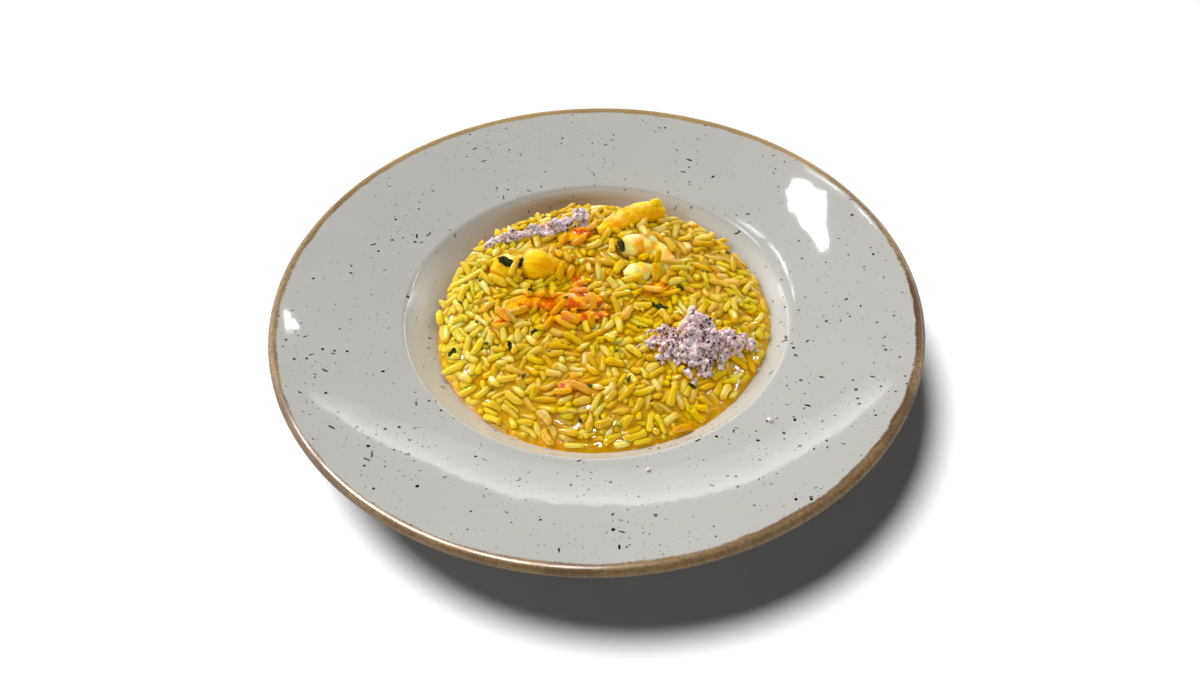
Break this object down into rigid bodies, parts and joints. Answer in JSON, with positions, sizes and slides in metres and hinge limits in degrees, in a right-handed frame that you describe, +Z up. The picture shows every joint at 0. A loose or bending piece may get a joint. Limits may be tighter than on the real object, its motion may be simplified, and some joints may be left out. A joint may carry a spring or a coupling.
{
  "type": "saffron prawn risotto in a bowl",
  "caption": "Yellow saffron risotto with prawns, tomato, herbs and crumbs, heaped in a speckled wide-rimmed bowl with a brown edge.",
  "frame": {"origin": "under the bowl's centre, on the plane its foot ring stands on", "axes": "+Z up out of the bowl; -Y towards the viewer of the picture; +X to the viewer's right"},
  "size_m": [0.28, 0.28, 0.0514],
  "materials": {
    "glaze": "glossy off-white stoneware glaze with dark specks and a mottled brown edge",
    "rice": "wet cooked rice in saffron sauce",
    "prawn": "wet cooked prawn stained yellow to orange",
    "tomato": "wet cooked tomato",
    "crumb": "dry lavender-grey crumb with dark specks"
  },
  "bodies": {
    "root": {"bowl": "glaze", "risotto": "rice", "prawn_back": "prawn", "prawn_curled": "prawn", "prawn_left": "prawn", "prawn_chunk": "prawn", "tomato_strip_upper": "tomato", "tomato_strip_lower": "tomato", "tomato_bit_back": "tomato", "tomato_bit_middle": "tomato", "tomato_bit_front": "tomato", "tomato_bit_right": "tomato", "crumb_mound": "crumb", "crumb_strip": "crumb"}
  },
  "joints": []
}
